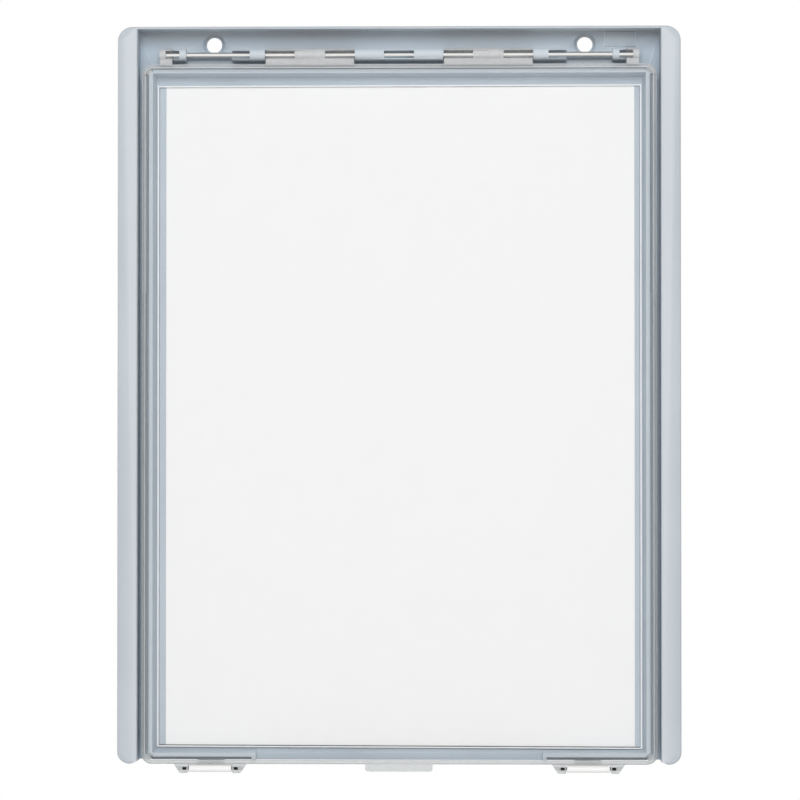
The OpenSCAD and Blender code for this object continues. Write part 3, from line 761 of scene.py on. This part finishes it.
bpy.ops.object.select_all(action="DESELECT")
bpy.ops.mesh.primitive_circle_add(vertices=96, radius=FLOOR_RADIUS, fill_type="NGON",
                                  location=(0, 0, cad_box[0][2] - FLOOR_DROP))
floor = bpy.context.active_object
floor.name = "floor"
floor_paint, tree, output = new_material("pale_floor")
place = add_node(tree, "TexCoord").outputs["Object"]
distance = add_node(tree, "VectorMath", {"operation": "LENGTH"}, _0=place)
fade = add_node(tree, "MapRange", Value=distance.outputs["Value"], From_Min=FADE_FROM, From_Max=FADE_TO)
amount = times(tree, fade.outputs["Result"], rays_of(tree, SEEN_RAYS))
paint = add_node(tree, "BsdfDiffuse", Color=linear("f2f2f2"))
glow = add_node(tree, "Emission", Color=WHITE, Strength=1.0)
mixed = add_node(tree, "MixShader", _0=amount, _1=paint.outputs[0], _2=glow.outputs[0])
tree.links.new(mixed.outputs[0], output.inputs["Surface"])
dress(floor, floor_paint)
print("floor lies", FLOOR_DROP, "m below the board")

# %% [markdown]
# ## Background
#
# The background is white for the camera and for rays that come off metal or through clear plastic, so that
# the hanging holes and the clear edges show it. For all other rays it is dimmer and fills in what the lamp
# leaves dark.
#
# Clear edges take their dark lines from the dark parts of a room. A model of a room would do it too, but it
# would also show in the rod. So for rays through clear plastic alone the white world has a dark belt, about
# sixty-five degrees away from the lamp, as a room with a bright window, dark sides and a pale floor would
# have.

# %% Background
WORLD_LEVEL = 0.32
BELT_LEVEL = 0.08
BELT_EDGES = (86, 46)
BELT_DARK = (77, 55)
LAMP_ANGLE = math.radians(26)

world = bpy.data.worlds.new("plain_white_studio")
bpy.context.scene.world = world
world.use_nodes = True
tree = world.node_tree
tree.nodes.clear()
toward_lamp = Vector((0, -math.cos(LAMP_ANGLE), math.sin(LAMP_ANGLE)))
direction = add_node(tree, "TexCoord").outputs["Generated"]
ahead = add_node(tree, "VectorMath", {"operation": "DOT_PRODUCT"}, _0=direction, _1=toward_lamp)
belt = add_node(tree, "ValToRGB", Fac=ahead.outputs["Value"])
stops = belt.color_ramp.elements
for stop, degrees in zip(stops, BELT_EDGES):
    stop.position = math.cos(math.radians(degrees))
    stop.color = WHITE
for degrees in BELT_DARK:
    stop = stops.new(math.cos(math.radians(degrees)))
    stop.color = (BELT_LEVEL, BELT_LEVEL, BELT_LEVEL, 1)
tone = blend(tree, rays_of(tree, ("Is Transmission Ray",)), WHITE, belt.outputs["Color"])
level = add_node(tree, "MapRange", Value=rays_of(tree, SEEN_RAYS), To_Min=WORLD_LEVEL, To_Max=1.0)
back = add_node(tree, "Background", Color=tone, Strength=level.outputs["Result"])
add_node(tree, "OutputWorld", Surface=back.outputs[0])
print("belt has", len(stops), "stops")

# %% [markdown]
# ## Lamps
#
# A broad lamp from the front does most of the lighting. It stands high enough to shade the trough below the
# rim. A sun lamp would give a hard shadow there, but this one is as wide as a large window, so the shadow
# fades out down the trough. A second, weaker lamp behind the board lights the side that lies against the
# wall. Neither is seen in metal or through the clear plastic.

# %% Lamps
LAMP_SIZE = 1.35
LAMP_AWAY = 2.4
LAMP_WATTS = 41
BACK_WATTS = 20

for watts, turn in ((LAMP_WATTS, 0), (BACK_WATTS, math.pi)):
    place = Vector((0, toward_lamp.y * math.cos(turn), toward_lamp.z)) * LAMP_AWAY
    bpy.ops.object.light_add(type="AREA", location=MIDDLE + place,
                             rotation=(math.pi / 2 - LAMP_ANGLE, 0, turn))
    lamp = bpy.context.active_object
    lamp.data.shape = "SQUARE"
    lamp.data.size = LAMP_SIZE
    lamp.data.energy = watts
    lamp.visible_glossy = False
    lamp.visible_transmission = False
    print("lamp of", watts, "W at", [round(v, 2) for v in lamp.location])

bpy.context.scene.view_settings.view_transform = "Standard"
